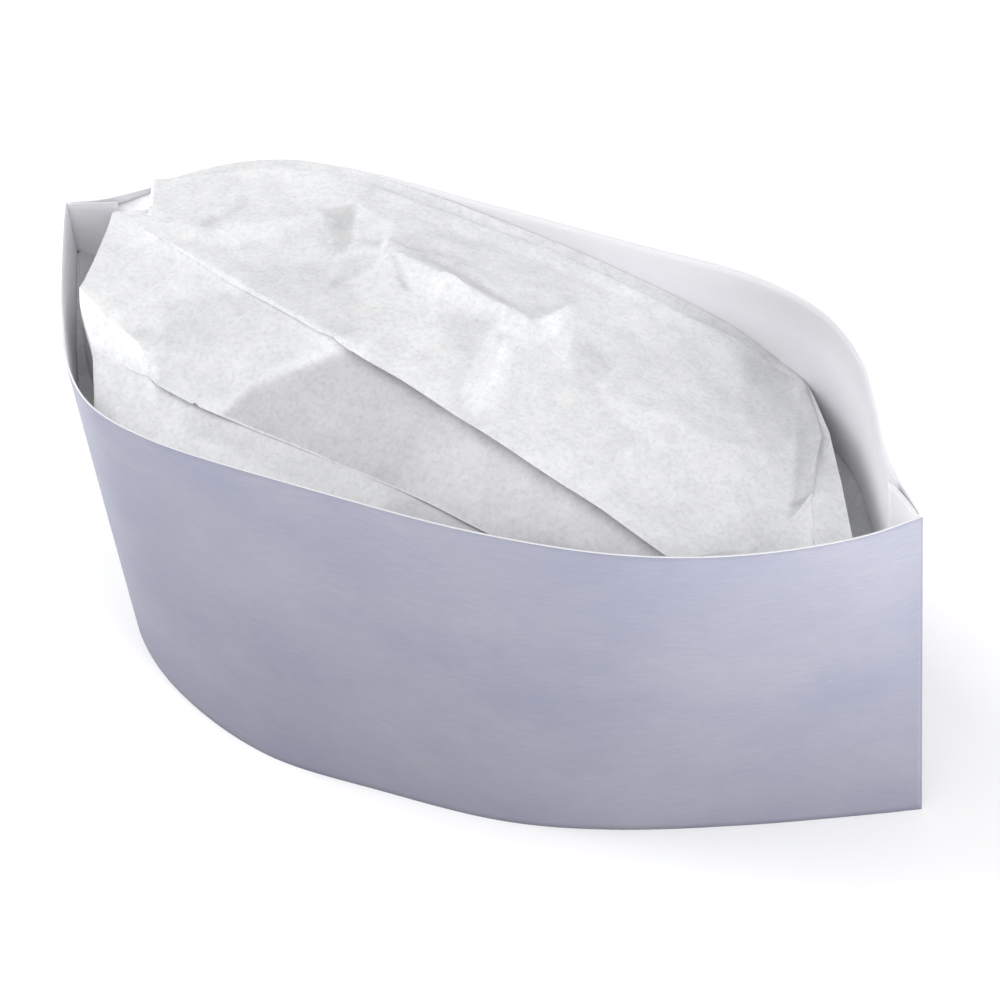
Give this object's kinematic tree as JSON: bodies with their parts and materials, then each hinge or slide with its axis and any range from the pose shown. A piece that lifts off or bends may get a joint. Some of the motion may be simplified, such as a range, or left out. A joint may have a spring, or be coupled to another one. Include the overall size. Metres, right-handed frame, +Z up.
{
  "type": "paper forage cap",
  "caption": "Opened boat-shaped disposable paper cap: a tall paper band seamed at both ends, with a crumpled, pleated white tissue crown inside it.",
  "frame": {"origin": "on the surface that the foot of the band rests on, under the middle of the cap's box", "axes": "+Z up, +X along the band from the left seam to the right seam, +Y towards the far side"},
  "size_m": [0.244, 0.1208, 0.101],
  "materials": {
    "band_paper": "smooth matte paper, pale blue-grey outside and white inside",
    "crown_tissue": "thin crumpled white tissue with a mottled fibre"
  },
  "bodies": {
    "root": {"near_side_panel": "band_paper", "far_side_panel": "band_paper", "crown": "crown_tissue"}
  },
  "joints": []
}
